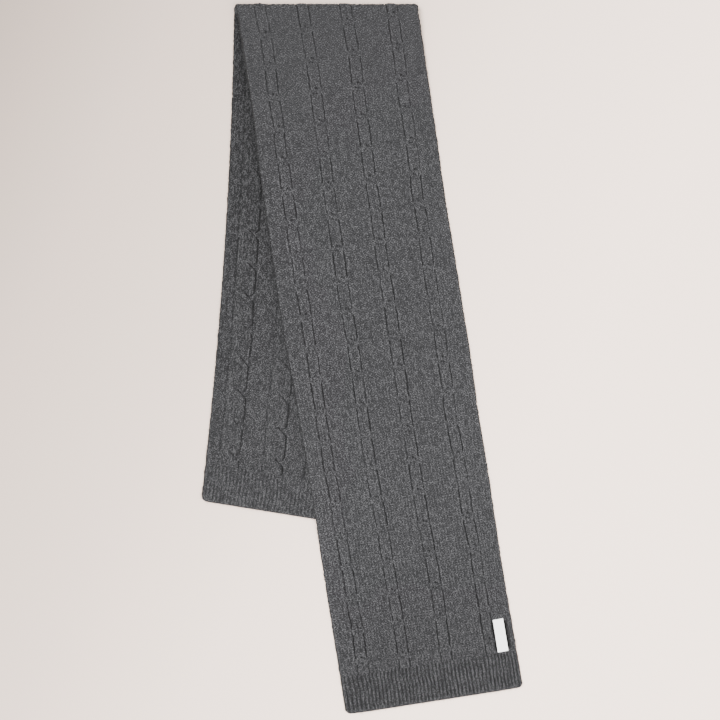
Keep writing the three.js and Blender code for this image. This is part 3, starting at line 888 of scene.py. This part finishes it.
def make_label():
    """A small woven label, pressed down at its two sewn ends and a little proud between them."""
    down, across = even(60), even(20)

    def grid(shares_down, shares_across, height):
        v = np.broadcast_to((LABEL["top"] + shares_down * LABEL["length"])[:, None],
                            (len(shares_down), len(shares_across)))
        u = np.broadcast_to((LABEL["left"] + shares_across * LABEL["width"])[None, :], v.shape)
        x, y = upper_plan(u, v)
        ends = np.sin(np.pi * np.clip(shares_down, 0, 1))[:, None] ** 0.5
        lift = LABEL_SEAT + 0.5 * ends + 0.12 * waves(u, v, 71, 25.0)
        return np.stack([x, y, underside_height(x, y) + lift + height], -1), np.stack([u, v], -1)

    points, cloth_map = grid(down, across, LABEL["thickness"])
    inner, inner_map = grid(even(20), even(4), 0.0)
    outer = outer_grid(points, cloth_map, np.zeros(points.shape[:2]))
    return wall_mesh("woven_label", outer, inner, inner_map)


SEWING = {"stitches": 9, "length": 2.0, "thickness": 0.5, "inset": 0.5, "sides": 6, "rings": 5}


def make_label_sewing():
    """Short stitches that catch the label's two ends to the knit, joined as one mesh."""
    points, faces = [], []
    sides, rings = SEWING["sides"], SEWING["rings"]
    step = (LABEL["width"] - 2 * SEWING["inset"]) / SEWING["stitches"]
    ends = (LABEL["top"] + SEWING["inset"], LABEL["top"] + LABEL["length"] - SEWING["inset"])
    for end, outwards in zip(ends, (-1, 1)):
        for i in range(SEWING["stitches"]):
            u = LABEL["left"] + SEWING["inset"] + (i + 0.5) * step + rng.uniform(-0.15, 0.15)
            first = len(points)
            for ring in range(rings + 1):
                share = ring / rings
                v = end + outwards * (share - 0.4) * SEWING["length"]
                x, y = upper_plan(np.array([u + 0.25 * (share - 0.5)]), np.array([v]))
                arch = np.sin(np.pi * share)
                radius = SEWING["thickness"] / 2 * (0.35 + 0.65 * arch ** 0.5)
                z = lying_height(x, y, np.array([u]), np.array([v])) + LABEL_SEAT + LABEL["thickness"] - 0.25 + 0.35 * arch
                for side in range(sides):
                    turn = 2 * np.pi * side / sides
                    points.append((x[0] + radius * np.cos(turn), y[0], z[0] + radius * np.sin(turn)))
            for ring in range(rings):
                for side in range(sides):
                    a = first + ring * sides + side
                    b = first + ring * sides + (side + 1) % sides
                    faces.append((a, b, b + sides, a + sides) if outwards > 0 else (a, a + sides, b + sides, b))
            last = first + rings * sides
            low, high = tuple(range(first, first + sides)), tuple(range(last, last + sides))
            faces += [low[::-1], high] if outwards > 0 else [low, high[::-1]]
    mesh = bpy.data.meshes.new("label_sewing")
    mesh.from_pydata((np.array(points) + ROW_SHIFT) * MM, [], faces)
    mesh.polygons.foreach_set("use_smooth", np.ones(len(faces), bool))
    mesh.uv_layers.new(name="cloth")
    mesh.update()
    piece = bpy.data.objects.new("label_sewing", mesh)
    bpy.context.scene.collection.objects.link(piece)
    return piece


FUZZ = {"on_face": 3600, "on_edges": 2600, "on_fold": 500, "length": (2.0, 5.0), "thickness": 0.14, "rings": 3}


def stray_fibres(roots, leans, lengths, seed):
    """Fine curved three-sided fibres that taper to a point, joined as one list of points and faces."""
    local = np.random.RandomState(seed)
    count, rings = len(roots), FUZZ["rings"]
    turn = local.uniform(0, 2 * np.pi, count)
    flat = np.stack([np.cos(turn), np.sin(turn), np.zeros(count)], -1)
    lean = leans / np.linalg.norm(leans, axis=1, keepdims=True)
    shares = np.linspace(0, 1, rings + 1)[None, :, None]
    bend = 0.45 * lengths[:, None, None] * shares ** 2 * flat[:, None, :]
    middle = roots[:, None, :] + lean[:, None, :] * lengths[:, None, None] * shares + bend
    middle[..., 2] = np.maximum(middle[..., 2], 0.25)
    aside = np.cross(lean, flat + [0, 0, 0.3])
    aside /= np.linalg.norm(aside, axis=1, keepdims=True)
    other = np.cross(lean, aside)
    radius = FUZZ["thickness"] / 2 * (1 - 0.9 * shares)
    corners = [2 * np.pi * k / 3 for k in range(3)]
    sides = [middle + radius * (np.cos(a) * aside[:, None, :] + np.sin(a) * other[:, None, :]) for a in corners]
    points = np.stack(sides, 2).reshape(-1, 3)
    pattern = []
    for ring in range(rings):
        for k in range(3):
            a, b = ring * 3 + k, ring * 3 + (k + 1) % 3
            pattern += [(a, b, b + 3), (a, b + 3, a + 3)]
    pattern += [(2, 1, 0), (rings * 3, rings * 3 + 1, rings * 3 + 2)]
    pattern = np.array(pattern)
    faces = (np.arange(count) * (rings + 1) * 3)[:, None, None] + pattern[None]
    return points, faces.reshape(-1, 3)


def make_fuzz():
    """Loose wool fibres on the upper layer and along the cloth's free edges."""
    local = np.random.RandomState(17)
    face, edges = FUZZ["on_face"], FUZZ["on_edges"]
    u = local.uniform(2, CLOTH_WIDTH - 2, face)
    v = local.uniform(60, UPPER_LENGTH - 4, face)
    x, y = upper_place(u, v)
    z = lying_height(x, y, u, v) + WALL + FACE_HEIGHT - 0.3
    roots = [np.stack([x, y, z], -1)]
    leans = [local.normal(0, 1, (face, 3)) * [1, 1, 0.15] + [0, 0, 0.12]]
    side = local.choice([-1, 1], edges)
    v = local.uniform(40, UPPER_LENGTH - 6, edges)
    u = np.where(side < 0, 1.0, CLOTH_WIDTH - 1.0)
    x, y = upper_place(u, v)
    roots.append(np.stack([x + edge_loops(u, v), y, lying_height(x, y, u, v) + 1.2], -1))
    leans.append(local.normal(0, 0.7, (edges, 3)) * [1, 1, 0.3] + np.stack([side * 1.0, 0 * side, 0 * side], -1))
    w = local.uniform(4, UNDER_LEFT_LENGTH - 20, edges // 2)
    u = np.full(len(w), 1.0)
    x, y = under_plan(u, w, w)
    roots.append(np.stack([x + edge_loops(u, w), y, np.full(len(w), 1.2)], -1))
    leans.append(local.normal(0, 0.7, (len(w), 3)) * [1, 1, 0.3] + [-1.0, 0, 0])
    u = local.uniform(6, CLOTH_WIDTH - 6, edges // 2)
    upper = u < CLOTH_WIDTH / 2
    u = 6 + (u % (CLOTH_WIDTH / 2)) / (CLOTH_WIDTH / 2) * (CLOTH_WIDTH - 12)
    hem_x, hem_y = upper_place(u, np.full_like(u, UPPER_LENGTH - 1.0))
    other_x, other_y = under_plan(u, np.full_like(u, 1.0), np.full_like(u, 1.0))
    x, y = np.where(upper, hem_x, other_x), np.where(upper, hem_y, other_y)
    roots.append(np.stack([x, y, np.full(len(u), 1.2)], -1))
    leans.append(local.normal(0, 0.7, (len(u), 3)) * [1, 1, 0.3] + [0, -1.0, 0])
    u = local.uniform(2, CLOTH_WIDTH - 2, FUZZ["on_fold"])
    turn = local.uniform(-0.3, 1.0, len(u))
    x = upper_place(u, (FOLD_TOP / 2 + u * np.sin(UPPER_LEAN)) / np.cos(UPPER_LEAN))[0]
    radius = FOLD_TOP / 2 - 0.2
    roots.append(np.stack([x, FOLD_Y - FOLD_TOP / 2 + radius * np.cos(turn), radius + radius * np.sin(turn)], -1))
    leans.append(local.normal(0, 0.7, (len(u), 3)) * [1, 1, 0.5] + [0, 1.0, 0.2])
    roots, leans = np.vstack(roots), np.vstack(leans)
    lengths = local.uniform(*FUZZ["length"], len(roots))
    points, faces = stray_fibres(roots, leans, lengths, 18)
    mesh = bpy.data.meshes.new("wool_fuzz")
    mesh.from_pydata(((points + ROW_SHIFT) * MM).tolist(), [], faces.tolist())
    mesh.uv_layers.new(name="cloth")
    mesh.update()
    piece = bpy.data.objects.new("wool_fuzz", mesh)
    bpy.context.scene.collection.objects.link(piece)
    return piece


# Materials

SPECULAR = 0.08


class Shader:
    """Small helper that adds and joins the nodes of one material."""

    def __init__(self, name):
        self.material = bpy.data.materials.new(name)
        self.material.use_nodes = True
        self.tree = self.material.node_tree
        self.surface = self.tree.nodes["Principled BSDF"]

    def feed(self, socket, value):
        if isinstance(value, bpy.types.NodeSocket):
            self.tree.links.new(value, socket)
        else:
            socket.default_value = value

    def math(self, operation, *values, clamp=False):
        node = self.tree.nodes.new("ShaderNodeMath")
        node.operation = operation
        node.use_clamp = clamp
        for socket, value in zip(node.inputs, values):
            self.feed(socket, value)
        return node.outputs[0]

    def cloth_map(self):
        node = self.tree.nodes.new("ShaderNodeUVMap")
        node.uv_map = "cloth"
        return node.outputs[0]

    def scaled(self, vector, scale, offset=(0, 0, 0)):
        node = self.tree.nodes.new("ShaderNodeMapping")
        self.feed(node.inputs["Vector"], vector)
        node.inputs["Scale"].default_value = scale
        node.inputs["Location"].default_value = offset
        return node.outputs[0]

    def split(self, vector):
        node = self.tree.nodes.new("ShaderNodeSeparateXYZ")
        self.feed(node.inputs[0], vector)
        return node.outputs["X"], node.outputs["Y"]

    def noise(self, vector, scale, detail=2.0, roughness=0.5):
        node = self.tree.nodes.new("ShaderNodeTexNoise")
        self.feed(node.inputs["Vector"], vector)
        node.inputs["Scale"].default_value = scale
        node.inputs["Detail"].default_value = detail
        node.inputs["Roughness"].default_value = roughness
        return node.outputs["Fac"]

    def random(self, x, y):
        """A number of its own, 0 to 1, for each whole pair."""
        pair = self.tree.nodes.new("ShaderNodeCombineXYZ")
        self.feed(pair.inputs["X"], x)
        self.feed(pair.inputs["Y"], y)
        node = self.tree.nodes.new("ShaderNodeTexWhiteNoise")
        node.noise_dimensions = "2D"
        self.feed(node.inputs["Vector"], pair.outputs[0])
        return node.outputs["Value"]

    def attribute(self, name):
        node = self.tree.nodes.new("ShaderNodeAttribute")
        node.attribute_name = name
        return node.outputs["Fac"]

    def times(self, color, factor):
        node = self.tree.nodes.new("ShaderNodeVectorMath")
        node.operation = "SCALE"
        self.feed(node.inputs[0], color)
        self.feed(node.inputs["Scale"], factor)
        return node.outputs[0]

    def ramp(self, value, stops):
        node = self.tree.nodes.new("ShaderNodeValToRGB")
        self.feed(node.inputs["Fac"], value)
        elements = node.color_ramp.elements
        while len(elements) < len(stops):
            elements.new(0.5)
        for element, (place, color) in zip(elements, stops):
            element.position = place
            element.color = (*color, 1)
        return node.outputs["Color"]

    def bump(self, height, distance, strength=1.0):
        node = self.tree.nodes.new("ShaderNodeBump")
        self.feed(node.inputs["Height"], height)
        node.inputs["Distance"].default_value = distance
        node.inputs["Strength"].default_value = strength
        self.tree.links.new(node.outputs["Normal"], self.surface.inputs["Normal"])

    def finish_with(self, color, roughness, sheen=0.0):
        self.feed(self.surface.inputs["Base Color"], color)
        self.surface.inputs["Roughness"].default_value = roughness
        self.surface.inputs["Specular IOR Level"].default_value = SPECULAR
        self.surface.inputs["Sheen Weight"].default_value = sheen
        self.surface.inputs["Sheen Roughness"].default_value = 0.6
        return self.material


WOOL_DARK = (0.0122, 0.0122, 0.0129)
WOOL_MIDDLE = (0.0223, 0.0223, 0.0235)
WOOL_LIGHT = (0.077, 0.077, 0.080)
WHOLE_TURN = 2 * np.pi
HEATHER_CONTRAST = 1.15
# Painted shade in recesses: how far it moves the tone towards the dark fibres, and how much it darkens the colour.
HOLLOW_SHADE = 0.35
HOLLOW_DARKNESS = 0.55
STITCH_CONTRAST = 0.16


def wool():
    """Heathered lambswool: dark and pale fibres spun together, each stitch a little its own tone. Painted shade darkens
    it in recesses and wherever the shade attribute asks.
    """
    s = Shader("wool")
    cloth = s.cloth_map()
    across, along = s.split(cloth)
    wale = s.math("DIVIDE", across, WALE * MM)
    from_middle = s.math("ABSOLUTE", s.math("MULTIPLY_ADD", s.math("FRACT", wale), 2.0, -1.0))
    course = s.math("MULTIPLY_ADD", from_middle, STITCH_SLANT, s.math("DIVIDE", along, COURSE * MM))
    leg = s.math("FLOOR", s.math("MULTIPLY", wale, 2.0))
    stitch_tone = s.random(leg, s.math("ROUND", course))
    fibres = s.noise(s.scaled(cloth, (1.0, 0.75, 1.0)), 760.0, 1.0, 0.5)
    contrast = s.math("MULTIPLY", s.attribute("heather"), HEATHER_CONTRAST)
    tone = s.math("MULTIPLY_ADD", s.math("SUBTRACT", fibres, 0.5), contrast, 0.5)
    stitch_contrast = s.math("MULTIPLY", s.math("POWER", s.attribute("heather"), 2.0), STITCH_CONTRAST)
    tone = s.math("MULTIPLY_ADD", s.math("SUBTRACT", stitch_tone, 0.5), stitch_contrast, tone)
    # Painted shade in recesses: the tone moves towards the dark fibres.
    tone = s.math("MULTIPLY_ADD", s.attribute("recess_shade"), -HOLLOW_SHADE, tone)
    color = s.ramp(tone, [(0.30, WOOL_DARK), (0.50, WOOL_MIDDLE), (0.72, WOOL_LIGHT)])
    # Painted shade and light: the colour is darkened by the shade attribute, lightened where that is below zero, and
    # darkened by the recess shade.
    lit = s.math("MULTIPLY", s.math("SUBTRACT", 1.0, s.attribute("shade")),
                 s.math("MULTIPLY_ADD", s.attribute("recess_shade"), -HOLLOW_DARKNESS, 1.0))
    color = s.times(color, lit)
    twist = s.math("COSINE", s.math("MULTIPLY", course, WHOLE_TURN))
    yarn = s.noise(s.scaled(cloth, (1.0, 0.5, 1.0)), 1400.0, 3.0, 0.6)
    s.bump(s.math("MULTIPLY_ADD", twist, 0.25, yarn), 0.0006, 0.7)
    return s.finish_with(color, 0.95, 0.04)


def loose_fibre():
    """Single fibres of the same wool, paler where they catch the light."""
    s = Shader("loose_fibre")
    place = s.tree.nodes.new("ShaderNodeNewGeometry").outputs["Position"]
    color = s.ramp(s.noise(place, 300.0), [(0.35, WOOL_MIDDLE), (0.65, WOOL_LIGHT)])
    return s.finish_with(color, 0.7, 0.15)


def woven_label():
    """A fine plain weave in off-white yarn."""
    s = Shader("label_cloth")
    cloth = s.cloth_map()
    across, along = s.split(cloth)
    pitch = 0.00035
    warp = s.math("SINE", s.math("MULTIPLY", across, 6.2832 / pitch))
    weft = s.math("SINE", s.math("MULTIPLY", along, 6.2832 / pitch))
    weave = s.math("MULTIPLY", warp, weft)
    cloudy = s.noise(cloth, 120.0, 2.0, 0.5)
    color = s.ramp(cloudy, [(0.3, (0.90, 0.90, 0.88)), (0.7, (0.96, 0.96, 0.95))])
    s.bump(weave, 0.00005, 0.6)
    return s.finish_with(color, 0.8, 0.1)


WOOL = wool()
LABEL_CLOTH = woven_label()


def dress(pieces, material, node):
    for piece in pieces:
        piece.data.materials.append(material)
        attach(piece, "root")
        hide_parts(node)
    return pieces


# The pieces

under_panel = dress(make_under_panel(), WOOL, "under_panel")
under_rib = dress([make_under_rib()], WOOL, "under_rib_hem")
fold = dress([make_fold()], WOOL, "fold")
upper_panel = dress(make_upper_panel(), WOOL, "upper_panel")
upper_rib = dress([make_upper_rib()], WOOL, "upper_rib_hem")
label = dress([make_label()], LABEL_CLOTH, "label")
dress([make_label_sewing()], LABEL_CLOTH, "label")


fuzz = make_fuzz()
fuzz.data.materials.append(loose_fibre())
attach(fuzz, "root")


# The floor, the light and the camera

FLOOR_SIZE = 9.0
FLOOR_DROP = 0.2 * MM
FLOOR_COLOR = (0.93, 0.75, 0.64)
# The floor's colour fades across it as a painted falloff of light: darker to the upper left, lighter to the lower
# right.
PAINTED_FALLOFF_WIDTH = 4.0
PAINTED_FLOOR_FALLOFF = [(0.17, 0.22), (0.275, 0.29), (0.365, 0.56), (0.435, 0.70), (0.50, 0.89), (0.58, 1.02)]
KEY_PLACE = (-1.1, 0.8, 2.1)
KEY_STRENGTH = 6.5
KEY_SOFTNESS = np.radians(36)
FILL_PLACE = (1.3, -1.0, 1.9)
FILL_POWER = 80.0
FILL_SIZE = 1.8
ROOM_COLOR = (1.0, 0.985, 0.98, 1)
ROOM_STRENGTH = 1.6


def make_floor():
    half = FLOOR_SIZE / 2
    mesh = bpy.data.meshes.new("floor")
    corners = [(-half, -half), (half, -half), (half, half), (-half, half)]
    mesh.from_pydata([(x, y, -FLOOR_DROP) for x, y in corners], [], [(0, 1, 2, 3)])
    floor = bpy.data.objects.new("floor", mesh)
    bpy.context.scene.collection.objects.link(floor)
    s = Shader("pale_floor")
    place = s.tree.nodes.new("ShaderNodeNewGeometry").outputs["Position"]
    x, y = s.split(place)
    # Painted light falloff across the floor.
    across = s.math("MULTIPLY_ADD", y, -0.5, x)
    share = s.math("MULTIPLY_ADD", across, 1 / PAINTED_FALLOFF_WIDTH, 0.5)
    color = s.ramp(share, [(where, np.array(FLOOR_COLOR) * tone) for where, tone in PAINTED_FLOOR_FALLOFF])
    floor.data.materials.append(s.finish_with(color, 0.9))


def lamp_at(name, kind, place, strength):
    """A lamp at a place, turned towards the origin."""
    light = bpy.data.lights.new(name, kind)
    light.energy = strength
    lamp = bpy.data.objects.new(name, light)
    bpy.context.scene.collection.objects.link(lamp)
    lamp.location = place
    lamp.rotation_mode = "QUATERNION"
    lamp.rotation_quaternion = (-Vector(place)).to_track_quat("-Z", "Y")
    return light


def make_light():
    """A soft key from the upper left, a wide fill from the lower right, and an even pale room."""
    key = lamp_at("key", "SUN", KEY_PLACE, KEY_STRENGTH)
    key.angle = KEY_SOFTNESS
    fill = lamp_at("fill", "AREA", FILL_PLACE, FILL_POWER)
    fill.size = FILL_SIZE
    world = bpy.data.worlds.new("soft_room")
    bpy.context.scene.world = world
    world.use_nodes = True
    background = world.node_tree.nodes["Background"]
    background.inputs["Color"].default_value = ROOM_COLOR
    background.inputs["Strength"].default_value = ROOM_STRENGTH


def make_camera():
    camera = bpy.data.cameras.new("camera")
    camera.type = "PERSP"
    camera.lens = LENS
    camera.sensor_width = SENSOR
    camera.clip_end = 50
    eye = bpy.data.objects.new("camera", camera)
    bpy.context.scene.collection.objects.link(eye)
    distance = VIEW_WIDTH * LENS / SENSOR
    middle = np.array([VIEW_MIDDLE[0], VIEW_MIDDLE[1], CLOTH_FACE + distance]) + ROW_SHIFT
    eye.location = middle * MM
    bpy.context.scene.camera = eye


make_floor()
make_light()
make_camera()
